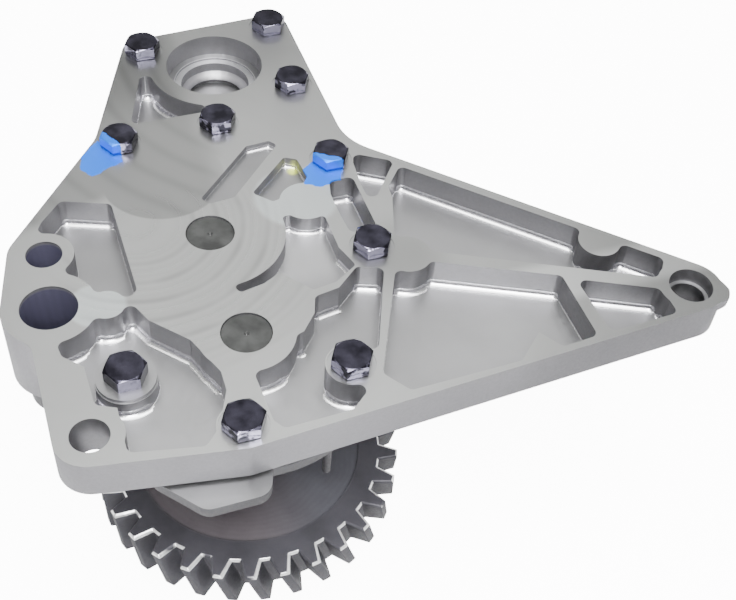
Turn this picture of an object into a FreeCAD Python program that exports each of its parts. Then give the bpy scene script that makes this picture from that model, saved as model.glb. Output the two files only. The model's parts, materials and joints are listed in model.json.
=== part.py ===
import FreeCAD, Part

import math
import os

import Sketcher
from FreeCAD import Placement, Rotation, Vector

# Engine oil pump: a gear pump under a broad machined cover plate with a bracket arm.
# Millimetres. Z = 0 is the machined face of the cover, +Z points out of it.
# The origin is on the axis of the drive shaft and +Y points at the driven shaft.

SIZES = {
    # Cover plate
    "plate_t": 17.0,
    "pocket_depth": 11.5,
    "pocket_corner": 2.6,
    "shallow_corner": 1.6,
    "centre_bay_depth": 7.5,
    "outer_groove_depth": 3.0,
    "inner_groove_depth": 4.5,
    "edge_bevel": 1.5,
    "port_boss_depth": 30.0,
    # Shafts and pumping gears
    "gear_centres": 50.0,
    "shaft_r": 9.0,
    "shaft_sink": 0.5,
    "running_gap": 0.03,
    "pump_teeth": 10.0,
    "pump_face": 12.0,
    "pump_end_gap": 0.06,
    "chamber_gap": 0.25,
    "housing_wall": 4.5,
    "housing_floor": 4.5,
    "housing_depth": 60.0,
    "nose_r": 17.0,
    "driven_boss_r": 15.0,
    # Ports and mounting holes of the cover
    "outlet_x": -61.8,
    "outlet_y": 29.5,
    "outlet_r": 10.0,
    "outlet_boss_r": 16.4,
    "inlet_x": 26.6,
    "inlet_y": 147.7,
    "inlet_r": 20.2,
    "inlet_seat_depth": 9.3,
    "inlet_step_r": 17.1,
    "inlet_step_depth": 10.1,
    "inlet_throat_r": 14.5,
    "inlet_cone_top": 14.1,
    "inlet_bore_r": 11.8,
    "inlet_wall": 7.3,
    "mount_hole_r": 6.5,
    "upper_mount_x": -59.4,
    "upper_mount_y": 55.1,
    "upper_mount_boss_r": 10.6,
    "lower_mount_x": -58.3,
    "lower_mount_y": -27.2,
    "lower_mount_boss_r": 11.2,
    "arm_mount_x": 161.4,
    "arm_mount_y": -23.5,
    "arm_mount_boss_r": 12.2,
    "sleeve_seat_r": 8.1,
    "sleeve_seat_depth": 6.0,
    # Cover bolts, M8 with a 13 mm hexagon
    "bolt_r": 4.0,
    "bolt_flat": 13.0,
    "bolt_head": 5.3,
    "bolt_washer_face": 0.4,
    "bolt_length": 30.0,
    "bolt_hole_gap": 0.3,
    "thread_gap": 0.02,
    "bolt_boss_r": 9.0,
    "spot_face_gap": 0.9,
    "spot_face_depth": 0.25,
    "bolt_1_x": -0.5,
    "bolt_1_y": 164.5,
    "bolt_2_x": 56.3,
    "bolt_2_y": 168.3,
    "bolt_3_x": 54.6,
    "bolt_3_y": 126.5,
    "bolt_4_x": 18.3,
    "bolt_4_y": 109.8,
    "bolt_5_x": -21.8,
    "bolt_5_y": 107.7,
    "bolt_6_x": 55.4,
    "bolt_6_y": 77.0,
    "bolt_7_x": 55.2,
    "bolt_7_y": 27.4,
    "bolt_8_x": 30.1,
    "bolt_8_y": -23.1,
    "bolt_9_x": -11.0,
    "bolt_9_y": -37.0,
    # Relief valve under its own plug
    "relief_x": -42.4,
    "relief_y": -4.0,
    "relief_boss_r": 10.6,
    "relief_boss_sink": 5.5,
    "relief_washer_r": 10.2,
    "relief_washer_t": 1.5,
    "relief_plug_r": 6.0,
    "relief_plug_end": 11.0,
    "relief_bore_r": 6.5,
    "relief_seat_depth": 34.0,
    "relief_inlet_r": 4.5,
    "relief_inlet_depth": 41.0,
    "relief_travel": 6.0,
    "plunger_length": 10.0,
    "plunger_wall": 1.2,
    "plunger_floor": 3.0,
    "spring_r": 4.3,
    "spring_wire": 1.5,
    "spring_coils": 4.0,
    "seat_gap": 0.05,
    # Housing
    "flange_t": 4.5,
    "flange_r": 45.0,
    "lug_reach": 54.0,
    "flange_boss_r": 8.2,
    "bolt_boss_depth": 31.0,
    "gallery_depth": 27.0,
    "gallery_wall": 4.5,
    "front_pin_x": 17.8,
    "front_pin_y": -37.9,
    "front_pin_r": 1.5,
    "front_pin_depth": 37.0,
    # Bushes and dowels
    "bush_wall": 2.5,
    "cover_bush_length": 12.5,
    "housing_bush_sink": 2.0,
    "dowel_r": 4.0,
    "dowel_length": 18.0,
    "hole_room": 0.5,
    "dowel_1_angle": 133.9,
    "dowel_1_wall": 3.25,
    "dowel_2_angle": 10.2,
    "dowel_2_wall": 5.35,
    "corner_pad_x": -42.8,
    "corner_pad_y": 25.5,
    "corner_pad_r": 6.4,
    # Drive gear and what holds it
    "drive_teeth": 30.0,
    "drive_tip_r": 57.2,
    "drive_root_r": 50.2,
    "drive_face": 17.0,
    "drive_twist": 5.7,
    "drive_phase": -92.9,
    "drive_bore_r": 8.5,
    "web_r": 42.0,
    "web_sink": 1.2,
    "tooth_bevel": 0.7,
    "spacer_t": 6.0,
    "spacer_r": 15.0,
    "stud_r": 7.0,
    "washer_r": 15.0,
    "washer_t": 2.5,
    "nut_flat": 22.0,
    "nut_t": 11.0,
    "stud_past_nut": 2.5,
    "key_width": 5.0,
    "key_height": 5.0,
    "key_sink": 0.5,
    "key_end_room": 1.5,
    "backlash": 0.16,
    "centre_mark": 1.0,
    "shaft_bevel": 0.4,
    "seat_relief": 0.5,
    "spacer_gap": 0.1,
    "relief_head": 5.5,
    "driven_bush_length": 10.0,
    "lower_web_sink": 3.0,
    "end_bevel": 1.0,
}


class Size:
    """A length that carries its sheet formula, so whatever uses it stays bound to the sheet."""

    def __init__(self, number, formula):
        self.number = float(number)
        self.formula = formula

    def __float__(self):
        return self.number

    def combine(self, other, sign, number):
        return Size(number, f"({self.formula} {sign} {formula_of(other)})")

    def __add__(self, other):
        return self.combine(other, "+", self.number + float(other))

    def __sub__(self, other):
        return self.combine(other, "-", self.number - float(other))

    def __mul__(self, other):
        return self.combine(other, "*", self.number * float(other))

    def __truediv__(self, other):
        return self.combine(other, "/", self.number / float(other))

    def __neg__(self):
        return Size(-self.number, f"(0 - {self.formula})")


def formula_of(value):
    return value.formula if isinstance(value, Size) else repr(float(value))


doc = FreeCAD.newDocument("engine_oil_pump")
sheet = doc.addObject("Spreadsheet::Sheet", "Sizes")
for row, (alias, value) in enumerate(SIZES.items(), start=1):
    sheet.set(f"A{row}", alias)
    sheet.set(f"B{row}", str(value))
    sheet.setAlias(f"B{row}", alias)
doc.recompute()


def size(alias):
    """The named cell of the sheet."""
    return Size(sheet.get(alias), f"Sizes.{alias}")


def spot(name):
    """The named place on the face of the cover."""
    return size(name + "_x"), size(name + "_y")


NOTHING = Size(0.0, "0")
PUMP_PRESSURE = 28.0
PUMP_DEDENDUM = 1.2
DRIVE_PRESSURE = 20.0
DRIVE_TOOTH_EXTRA = 0.8
BOLTS = [f"bolt_{number}" for number in range(1, 10)]

hexagon_r = size("bolt_flat") / math.sqrt(3)
spot_face_r = hexagon_r + size("spot_face_gap")
pump_module = size("gear_centres") / size("pump_teeth")
chamber_r = pump_module * (size("pump_teeth") / 2 + 1) + size("chamber_gap")
chamber_depth = size("plate_t") + size("pump_face") + size("pump_end_gap") * 2
body_r = chamber_r + size("housing_wall")
body_depth = chamber_depth + size("housing_floor")
driven_bore_depth = chamber_depth + size("driven_bush_length")
dowel_hole_depth = size("dowel_length") / 2 + size("hole_room")
bush_r = size("shaft_r") + size("bush_wall")
gear_top = size("housing_depth") + size("spacer_t")
gear_bottom = gear_top + size("drive_face")


def dowel_spot(name):
    """A dowel's place: at an angle about the driven shaft, a wall's width outside the chamber."""
    angle = math.radians(float(size(name + "_angle")))
    reach = chamber_r + size("dowel_r") + size(name + "_wall")
    return reach * math.cos(angle), size("gear_centres") + reach * math.sin(angle)


dowel_places = [dowel_spot("dowel_1"), dowel_spot("dowel_2")]


# Plane outlines

def point(x, y):
    return Vector(float(x), float(y), 0)


def arc_edge(centre, radius, start, end):
    """An arc that runs anticlockwise from the angle start to the angle end, in radians."""
    while end <= start:
        end += 2 * math.pi
    return Part.ArcOfCircle(Part.Circle(centre, Vector(0, 0, 1), radius), start, end).toShape()


def belt(rounds):
    """The closed line that runs tangent round each (x, y, radius), anticlockwise.

    A negative radius is a hollow, which the line passes on its other side.
    """
    touches = []
    for (x1, y1, r1), (x2, y2, r2) in zip(rounds, rounds[1:] + rounds[:1]):
        start, end = point(x1, y1), point(x2, y2)
        gap = end - start
        heading = math.atan2(gap.y, gap.x) - math.acos((float(r1) - float(r2)) / gap.Length)
        normal = Vector(math.cos(heading), math.sin(heading), 0)
        touches.append((start + normal * float(r1), end + normal * float(r2), heading))
    edges = []
    for index, (x, y, r) in enumerate(rounds):
        leave, arrive, heading = touches[index]
        before = touches[index - 1][2]
        if float(r) > 0:
            edges.append(arc_edge(point(x, y), float(r), before, heading))
        else:
            edges.append(arc_edge(point(x, y), -float(r), heading + math.pi, before + math.pi))
        edges.append(Part.makeLine(leave, arrive))
    return Part.Wire(Part.__sortEdges__(edges))


def disc(x, y, radius):
    return Part.Face(Part.Wire(Part.Circle(point(x, y), Vector(0, 0, 1), float(radius)).toShape()))


def polygon(corners):
    points = [point(x, y) for x, y in corners]
    return Part.Face(Part.makePolygon(points + points[:1]))


def rounded(face, radius):
    """The face's outer line with its outward corners rounded, as a cutter leaves them."""
    inner = face.OuterWire.makeOffset2D(-float(radius), 0, False, False)
    return inner.makeOffset2D(float(radius), 0, False, False)


def without(face, discs):
    """The largest piece of a face that is left beside round bosses."""
    left = face.cut([disc(*each) for each in discs])
    return max(left.Faces, key=lambda piece: piece.Area)


# Bodies, sketches and features

def new_body(name, x=NOTHING, y=NOTHING):
    body = doc.addObject("PartDesign::Body", name)
    body.Label = name
    body.setExpression("Placement.Base.x", x.formula)
    body.setExpression("Placement.Base.y", y.formula)
    return body


def new_sketch(body, name, plane="XY_Plane", level=NOTHING):
    """A sketch on one of the body's own planes, at a level along that plane's normal."""
    sketch = body.newObject("Sketcher::SketchObject", name)
    support = next(each for each in body.Origin.OriginFeatures if each.Role == plane)
    sketch.AttachmentSupport = (support, [""])
    sketch.MapMode = "FlatFace"
    sketch.AttachmentOffset = Placement(Vector(0, 0, float(level)), Rotation())
    sketch.setExpression("AttachmentOffset.Base.z", level.formula)
    return sketch


def bound(sketch, kind, *parts):
    """A sketch constraint whose last part is a size bound to the sheet."""
    index = sketch.addConstraint(Sketcher.Constraint(kind, *parts[:-1], float(parts[-1])))
    sketch.setExpression(f"Constraints[{index}]", parts[-1].formula)


def place(sketch, geometry, vertex, x, y):
    bound(sketch, "DistanceX", -1, 1, geometry, vertex, x)
    bound(sketch, "DistanceY", -1, 1, geometry, vertex, y)


def circles(sketch, rounds):
    """Circles at (x, y, radius), each size bound to the sheet."""
    for x, y, radius in rounds:
        circle = Part.Circle(point(x, y), Vector(0, 0, 1), float(radius))
        geometry = sketch.addGeometry(circle)
        place(sketch, geometry, 3, x, y)
        bound(sketch, "Radius", geometry, radius)
    return sketch


def profile(sketch, corners):
    """A closed line through corners whose places are bound to the sheet."""
    ends = corners[1:] + corners[:1]
    for start, end in zip(corners, ends):
        sketch.addGeometry(Part.LineSegment(point(*start), point(*end)))
    for index, corner in enumerate(corners):
        before = (index - 1) % len(corners)
        sketch.addConstraint(Sketcher.Constraint("Coincident", before, 2, index, 1))
        place(sketch, index, 1, *corner)
    return sketch


def trace(sketch, wire):
    """The lines and arcs of a wire, worked out from the sheet's values."""
    for edge in wire.Edges:
        start, end = (vertex.Point for vertex in (edge.firstVertex(), edge.lastVertex()))
        if edge.Curve.TypeId == "Part::GeomLine":
            sketch.addGeometry(Part.LineSegment(start, end))
            continue
        centre = edge.Curve.Center
        first = math.atan2(start.y - centre.y, start.x - centre.x)
        last = math.atan2(end.y - centre.y, end.x - centre.x)
        if edge.Curve.Axis.z < 0:
            first, last = last, first
        if last <= first:
            last += 2 * math.pi
        circle = Part.Circle(centre, Vector(0, 0, 1), edge.Curve.Radius)
        sketch.addGeometry(Part.ArcOfCircle(circle, first, last))
    return sketch


def extrude(kind, body, name, sketch, length, reverse=False):
    feature = body.newObject("PartDesign::" + kind, name)
    feature.Profile = sketch
    feature.Length = float(length)
    feature.setExpression("Length", length.formula)
    feature.Reversed = reverse
    sketch.Visibility = False
    return feature


def pad(body, name, sketch, length):
    """Material from the sketch downwards."""
    return extrude("Pad", body, name, sketch, length, reverse=True)


def pocket(body, name, sketch, length):
    """A cut from the sketch downwards."""
    return extrude("Pocket", body, name, sketch, length)


def revolve(body, name, corners, kind="Revolution"):
    """A turned form from (radius, height) corners about the body's Z axis."""
    sketch = profile(new_sketch(body, name + "_profile", "XZ_Plane"), corners)
    feature = body.newObject("PartDesign::" + kind, name)
    feature.Profile = sketch
    feature.ReferenceAxis = (sketch, ["V_Axis"])
    feature.Angle = 360.0
    return feature


def bevel(body, name, level, width):
    """Bevels the edges of the body's last feature that lie at the level."""
    doc.recompute()
    last = body.Tip
    edges = [f"Edge{index}" for index, edge in enumerate(last.Shape.Edges, start=1)
             if abs(edge.BoundBox.ZMin - float(level)) + abs(edge.BoundBox.ZMax - float(level)) < 0.01]
    feature = body.newObject("PartDesign::Chamfer", name)
    feature.Base = (last, edges)
    feature.Size = float(width)
    feature.setExpression("Size", width.formula)
    return feature


# Cover plate

upper_mount = spot("upper_mount")
lower_mount = spot("lower_mount")
arm_mount = spot("arm_mount")
outlet = spot("outlet")
inlet = spot("inlet")
relief = spot("relief")
driven = (NOTHING, size("gear_centres"))

LOWER_CORNER_R = 11.8
UPPER_CORNER_R = 13.0
FRONT_BOSS_R = 9.3
END_BOSS_R = 8.7
SIDE_HOLLOW_R = 20.0
SIDE_HOLLOW_LEFT = 26.1
SIDE_HOLLOW_RISE = 15.1
ARM_END_R = 12.0
ARM_CORNER_R = 24.0
ARM_CORNER_RISE = 20.0
PORT_CORNER_R = 7.0
PORT_BOSS_EXTRA = 1.5
TANGENT_ROOM = 0.3


def cover_outline():
    """The plate's edge: it wraps the outermost bosses and runs out along the arm."""
    left_edge = float(lower_mount[0]) - LOWER_CORNER_R
    port_corner_x = left_edge - PORT_CORNER_R
    reach = float(size("outlet_boss_r")) + PORT_CORNER_R + TANGENT_ROOM
    port_corner_y = float(outlet[1]) - math.sqrt(reach**2 - (float(outlet[0]) - port_corner_x) ** 2)
    arm_corner_x = float(size("bolt_2_x")) + END_BOSS_R + ARM_CORNER_R
    arm_corner_y = float(size("bolt_6_y")) + ARM_CORNER_RISE
    side_x = float(size("bolt_5_x")) - SIDE_HOLLOW_LEFT
    side_y = float(size("bolt_5_y")) + SIDE_HOLLOW_RISE
    return belt([
        (*lower_mount, LOWER_CORNER_R),
        (*spot("bolt_9"), FRONT_BOSS_R),
        (*arm_mount, ARM_END_R),
        (arm_corner_x, arm_corner_y, -ARM_CORNER_R),
        (*spot("bolt_2"), END_BOSS_R),
        (*spot("bolt_1"), END_BOSS_R),
        (side_x, side_y, -SIDE_HOLLOW_R),
        (*upper_mount, UPPER_CORNER_R),
        (*outlet, size("outlet_boss_r")),
        (port_corner_x, port_corner_y, -PORT_CORNER_R),
    ])


bolt_bosses = [(*spot(name), size("bolt_boss_r")) for name in BOLTS]
upper_boss = (*upper_mount, size("upper_mount_boss_r"))
outlet_boss = (*outlet, size("outlet_boss_r"))
lower_boss = (*lower_mount, size("lower_mount_boss_r"))
arm_boss = (*arm_mount, size("arm_mount_boss_r"))
inlet_boss = (*inlet, size("inlet_r") + size("inlet_wall"))
corner_pad = (*spot("corner_pad"), size("corner_pad_r"))
drive_land = (0, 0, 17.2)
driven_land = (*driven, 27.8)
rib_pad = (66.5, 20.0, 9.0)
rim_pad = (139.0, 6.7, 8.0)
port_land = (*dowel_places[1], 10.0)

# Each bay: its corners and the round bosses that stand in it
BAYS = {
    "inlet_bay": ([(-5.6, 147.0), (20, 147.0), (22, 118.2), (-15.4, 117.8)], [inlet_boss, bolt_bosses[3]]),
    "upper_left_bay": (
        [(-66, 57), (-57.8, 71.5), (-49.3, 81), (-31.6, 74.6), (-31.4, 29.5), (-35.6, 25.4), (-55, 24)],
        [upper_boss, outlet_boss, corner_pad],
    ),
    "lower_left_bay": (
        [(-62, 12.5), (-61.3, 7), (-55, 0.5), (-54.6, -16), (-48, -19), (-48.4, -37), (-24.5, -41.6),
         (-19, -36), (-12.8, -22), (-12.6, -14), (-19, 2), (-30.5, 14.5), (-34.6, 24), (-50, 24)],
        [outlet_boss, lower_boss, corner_pad, bolt_bosses[8], drive_land],
    ),
    "centre_right_bay": (
        [(49.2, 58), (51, 65.2), (60.5, 65.2), (60.5, 30), (50.2, 30), (49.2, 46)],
        [bolt_bosses[6]],
    ),
    "corner_bay": ([(64.0, 78.7), (79.4, 69.6), (62.5, 47.5), (62.3, 60)], [bolt_bosses[5], bolt_bosses[6]]),
    "front_bay": (
        [(-2.5, -12), (19, -5), (25, 2), (27.5, 9.3), (37, 11), (46.3, 19), (55.8, 15.6), (38.8, -25),
         (37.5, -30.5), (24.5, -41.3), (1, -42), (-1.5, -38)],
        [drive_land, bolt_bosses[7], bolt_bosses[8]],
    ),
    "upper_arm_bay": (
        [(80.6, 66.2), (158.3, -8.6), (151, -19), (150, -15.9), (128, -5.6), (75, 19.1), (64, 27),
         (71.6, 50), (72, 56)],
        [bolt_bosses[6], rib_pad, rim_pad, arm_boss],
    ),
    "lower_arm_bay": (
        [(59.8, 14.6), (64, 18.3), (117.2, -5.8), (117.0, -35.4), (103, -36.6), (97.5, -28.2),
         (86.5, -38.2), (45.5, -39.3), (38.8, -30)],
        [rib_pad, bolt_bosses[6]],
    ),
    "end_arm_bay": ([(121.4, -8.8), (150, -22), (150, -34), (122.4, -35.2)], [arm_boss]),
}
SHALLOW_BAYS = {
    "centre_bay": (
        [(1.2, 22.2), (2.8, 18.3), (12, 20.2), (19, 23.8), (22, 20), (28, 12.5), (37, 14), (46.4, 20),
         (43.2, 30), (43.4, 50.2), (27.6, 51.2), (14, 40)],
        [driven_land, port_land],
    ),
    "outer_groove": ([(1.0, 68.4), (25.5, 93.2), (35, 94), (37.5, 91), (13.5, 66), (4, 65)], []),
    "inner_groove": ([(20.6, 66.4), (38, 83), (42.6, 80.5), (43.6, 70), (38, 62), (26.8, 60)], [port_land]),
}


def cut_bay(body, name, corners, bosses, depth, corner):
    """A milled bay with rounded corners; bosses stay standing in it."""
    edge = rounded(without(polygon(corners), bosses), corner)
    pocket(body, name, trace(new_sketch(body, name + "_outline"), edge), depth)


def make_cover():
    cover = new_body("pump_cover")
    edge = cover_outline()
    pad(cover, "plate", trace(new_sketch(cover, "plate_outline"), edge), size("plate_t"))
    bevel(cover, "plate_bevel", -size("plate_t"), size("edge_bevel"))
    for name, (corners, bosses) in BAYS.items():
        cut_bay(cover, name, corners, bosses, size("pocket_depth"), size("pocket_corner"))
    for name, (corners, bosses) in SHALLOW_BAYS.items():
        cut_bay(cover, name, corners, bosses, size(name + "_depth"), size("shallow_corner"))
    port_edge = belt([(*upper_mount, size("upper_mount_boss_r") + PORT_BOSS_EXTRA), outlet_boss])
    port_sketch = trace(new_sketch(cover, "port_boss_outline", level=-size("pocket_depth")), port_edge)
    pad(cover, "port_boss", port_sketch, size("port_boss_depth") - size("pocket_depth"))
    plug_sketch = new_sketch(cover, "relief_boss_outline", level=-size("relief_boss_sink"))
    circles(plug_sketch, [(*relief, size("relief_boss_r"))])
    pad(cover, "relief_boss", plug_sketch, size("plate_t") - size("relief_boss_sink"))

    through = size("port_boss_depth") + 1
    mounts = [(*each, size("mount_hole_r")) for each in (upper_mount, lower_mount, arm_mount)]
    holes = mounts + [(*outlet, size("outlet_r")), (*relief, size("relief_plug_r") + size("thread_gap"))]
    holes += [(*spot(name), size("bolt_r") + size("bolt_hole_gap")) for name in BOLTS]
    holes += [(*each, size("shaft_r") + size("running_gap")) for each in ((NOTHING, NOTHING), driven)]
    holes += [(*inlet, size("inlet_bore_r"))]
    pocket(cover, "holes", circles(new_sketch(cover, "hole_places"), holes), through)
    faces = [(*spot(name), spot_face_r) for name in BOLTS]
    face_places = circles(new_sketch(cover, "spot_face_places"), faces)
    pocket(cover, "spot_faces", face_places, size("spot_face_depth"))
    seat = circles(new_sketch(cover, "sleeve_seat_place"), [(*arm_mount, size("sleeve_seat_r"))])
    pocket(cover, "sleeve_seat", seat, size("sleeve_seat_depth"))
    for name, radius, depth in (
        ("inlet_seat", size("inlet_r"), size("inlet_seat_depth")),
        ("inlet_step", size("inlet_step_r"), size("inlet_step_depth")),
        ("inlet_throat", size("inlet_throat_r"), size("inlet_cone_top")),
    ):
        pocket(cover, name, circles(new_sketch(cover, name + "_place"), [(*inlet, radius)]), depth)
    cone = cover.newObject("PartDesign::SubtractiveCone", "inlet_cone")
    fall = size("inlet_throat_r") - size("inlet_bore_r")
    cone.Radius1 = float(size("inlet_bore_r"))
    cone.Radius2 = float(size("inlet_throat_r"))
    cone.Height = float(fall)
    cone.setExpression("Radius1", size("inlet_bore_r").formula)
    cone.setExpression("Radius2", size("inlet_throat_r").formula)
    cone.setExpression("Height", fall.formula)
    cone.setExpression("Placement.Base.x", inlet[0].formula)
    cone.setExpression("Placement.Base.y", inlet[1].formula)
    cone.setExpression("Placement.Base.z", (-(size("inlet_cone_top") + fall)).formula)

    below = new_sketch(cover, "bush_seat_places", level=-size("plate_t"))
    circles(below, [(*each, bush_r) for each in ((NOTHING, NOTHING), driven)])
    extrude("Pocket", cover, "bush_seats", below, size("cover_bush_length"), reverse=True)
    under = new_sketch(cover, "dowel_hole_places", level=-size("plate_t"))
    circles(under, [(*where, size("dowel_r") + size("thread_gap")) for where in dowel_places])
    extrude("Pocket", cover, "dowel_holes", under, dowel_hole_depth, reverse=True)
    return cover


# Gear housing

GALLERY_MOUTH_X = 25.0
GALLERY_MOUTH_R = 6.0
GALLERY_NECK_R = 6.5
GALLERY_END_R = 8.5
SHELF_EXTRA_R = 1.2
SHELF_DEPTH = 2.0
THIN_WALL = 2.5
VALVE_RIM = 0.6
PORT_ROOM = 0.4
LUG_ROUND = 6.0
DUCT_WIDE_R = 12.0
DUCT_R = 8.0
DUCT_T = 14.0
RISER_R = 8.0
RISER_SUMP = 0.8
PASSAGE_R = 4.5
PASSAGE_RISE = 1.5
CHAMBER_PORT_X = -13.5
CHAMBER_PORT_R = 3.5
FEED_R = 2.2
RETURN_ABOVE_SEAT = 3.0


def lug_outline():
    """The lug that stands out of the flange below the front bolt."""
    reach = -float(size("lug_reach"))
    return polygon([(-44, -35.8), (-28.3, reach), (-6.6, reach), (-3.8, -45.5), (4, -30), (-30, -20)])


def flange_outline():
    return belt([
        (0, 0, size("flange_r")),
        (*spot("bolt_8"), size("bolt_boss_r")),
        (*spot("bolt_7"), size("bolt_boss_r")),
        (*spot("bolt_2"), size("flange_boss_r")),
        (*spot("bolt_1"), size("flange_boss_r")),
        (*spot("bolt_5"), size("flange_boss_r")),
        (*relief, size("relief_boss_r") + VALVE_RIM),
    ])


def gallery_space():
    """The suction space: from under the inlet, past the dowel, to the outer side of the mesh."""
    inlet_x, inlet_y = (float(each) for each in inlet)
    pin_x, pin_y = (float(each) for each in dowel_places[1])
    end_y = inlet_y - GALLERY_END_R
    return belt([
        (GALLERY_MOUTH_X, float(size("gear_centres")) / 2, GALLERY_MOUTH_R),
        (pin_x, pin_y, -(float(size("dowel_r")) + THIN_WALL)),
        (pin_x, float(size("bolt_6_y")), GALLERY_NECK_R),
        (inlet_x + GALLERY_NECK_R, end_y, GALLERY_END_R),
        (inlet_x - GALLERY_NECK_R, end_y, GALLERY_END_R),
        (GALLERY_MOUTH_X - GALLERY_NECK_R, float(size("gear_centres")), GALLERY_NECK_R),
    ])


def add_housing_walls(housing, top, passage_y):
    """The flange and everything that stands down from it."""
    joint = -top
    flange = new_sketch(housing, "flange_outline", level=top)
    pad(housing, "flange", trace(flange, flange_outline()), size("flange_t"))
    lug = new_sketch(housing, "lug_outline", level=top)
    pad(housing, "lug", trace(lug, rounded(lug_outline(), LUG_ROUND)), size("flange_t"))
    body = new_sketch(housing, "body_outline", level=top)
    pad(housing, "body", trace(body, belt([(0, 0, body_r), (*driven, body_r)])), body_depth - joint)
    bevel(housing, "body_bevel", -body_depth, size("edge_bevel"))
    rounds = (
        ("nose", (NOTHING, NOTHING), size("nose_r"), size("housing_depth")),
        ("driven_boss", driven, size("driven_boss_r"), driven_bore_depth + THIN_WALL),
        ("valve_boss", relief, size("relief_boss_r"), size("relief_inlet_depth") + size("housing_wall")),
        ("front_pin", spot("front_pin"), size("front_pin_r"), size("front_pin_depth")),
    )
    for name, where, radius, depth in rounds:
        place_of = circles(new_sketch(housing, name + "_place", level=top), [(*where, radius)])
        pad(housing, name, place_of, depth - joint)
    gallery = new_sketch(housing, "gallery_wall_outline", level=top)
    walls = gallery_space().makeOffset2D(float(size("gallery_wall")), 0, False, False)
    pad(housing, "gallery_wall", trace(gallery, walls), size("gallery_depth") + size("gallery_wall") - joint)
    bosses = new_sketch(housing, "bolt_boss_places", level=top)
    circles(bosses, [(*spot(name), size("flange_boss_r")) for name in BOLTS])
    pad(housing, "bolt_bosses", bosses, size("bolt_boss_depth") - joint)
    pins = new_sketch(housing, "dowel_boss_places", level=top)
    circles(pins, [(*where, size("dowel_r") + THIN_WALL) for where in dowel_places])
    pad(housing, "dowel_bosses", pins, dowel_hole_depth + THIN_WALL)
    clear = new_sketch(housing, "port_clearance", level=top)
    circles(clear, [(*outlet, size("outlet_boss_r") + PORT_ROOM)])
    pocket(housing, "port_clearance_cut", clear, size("port_boss_depth") - joint)
    end = (CHAMBER_PORT_X, passage_y, DUCT_R)
    turn = (relief[0], passage_y, DUCT_R)
    ducts = (
        ("outlet_duct", belt([(*outlet, DUCT_WIDE_R), end])),
        ("valve_duct", belt([(*relief, DUCT_R), turn])),
    )
    for name, edge in ducts:
        outline = new_sketch(housing, name + "_outline", level=-size("port_boss_depth"))
        pad(housing, name, trace(outline, edge), NOTHING + DUCT_T)


def cut_housing_oilways(housing, top, passage_y):
    """The riser under the outlet, the passage to the chamber, and the valve's feed and return."""
    joint = -top
    passage_z = -(size("port_boss_depth") + DUCT_T / 2)
    riser = new_sketch(housing, "riser_place", level=-size("port_boss_depth"))
    circles(riser, [(*outlet, NOTHING + RISER_R)])
    pocket(housing, "riser", riser, NOTHING + DUCT_T / 2 + PASSAGE_R + RISER_SUMP)
    passage = new_sketch(housing, "passage_place", "YZ_Plane", outlet[0])
    circles(passage, [(passage_y, passage_z, NOTHING + PASSAGE_R)])
    extrude("Pocket", housing, "passage", passage, -outlet[0] + CHAMBER_PORT_X, reverse=True)
    port = new_sketch(housing, "chamber_port_place", level=-chamber_depth)
    circles(port, [(NOTHING + CHAMBER_PORT_X, passage_y, NOTHING + CHAMBER_PORT_R)])
    pocket(housing, "chamber_port", port, -passage_z - chamber_depth)
    feed = new_sketch(housing, "valve_feed_place", "XZ_Plane", -relief[1])
    circles(feed, [(relief[0], passage_z, NOTHING + FEED_R)])
    pocket(housing, "valve_feed", feed, passage_y - relief[1])
    outside = relief[0] - size("relief_boss_r") - 1
    back = new_sketch(housing, "valve_return_place", "YZ_Plane", outside)
    circles(back, [(relief[1], -size("relief_seat_depth") + RETURN_ABOVE_SEAT, NOTHING + FEED_R)])
    extrude("Pocket", housing, "valve_return", back, relief[0] - outside, reverse=True)


def make_housing():
    housing = new_body("pump_housing")
    top = -size("plate_t")
    joint = size("plate_t")
    passage_y = size("gear_centres") / 2 + PASSAGE_RISE
    add_housing_walls(housing, top, passage_y)
    chamber = new_sketch(housing, "chamber_outline", level=top)
    lobes = disc(0, 0, chamber_r).fuse(disc(*driven, chamber_r)).removeSplitter()
    pocket(housing, "chamber", trace(chamber, lobes.Faces[0].OuterWire), chamber_depth - joint)
    gallery = new_sketch(housing, "gallery_outline", level=top)
    pocket(housing, "gallery", trace(gallery, gallery_space()), size("gallery_depth") - joint)
    post = new_sketch(housing, "gallery_post_place", level=top)
    circles(post, [(*spot("bolt_4"), size("flange_boss_r"))])
    pad(housing, "gallery_post", post, size("bolt_boss_depth") - joint)
    bolt_r = size("bolt_r") + size("thread_gap")
    dowel_r = size("dowel_r") + size("thread_gap")
    rounds = (
        ("inlet_shelf", [(*inlet, size("inlet_bore_r") + SHELF_EXTRA_R)], joint + SHELF_DEPTH),
        ("threads", [(*spot(name), bolt_r) for name in BOLTS], size("bolt_boss_depth") + 1),
        ("dowel_seats", [(*where, dowel_r) for where in dowel_places], joint + dowel_hole_depth),
        ("drive_bush_bore", [(NOTHING, NOTHING, bush_r)], size("housing_depth") + 1),
        ("driven_bush_bore", [(*driven, bush_r)], driven_bore_depth),
        ("valve_bore", [(*relief, size("relief_bore_r"))], size("relief_seat_depth")),
        ("valve_inlet", [(*relief, size("relief_inlet_r"))], size("relief_inlet_depth")),
    )
    for name, where, depth in rounds:
        place_of = circles(new_sketch(housing, name + "_place", level=top), where)
        pocket(housing, name, place_of, depth - joint)
    cut_housing_oilways(housing, top, passage_y)
    return housing


# Turned and toothed pieces

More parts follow.
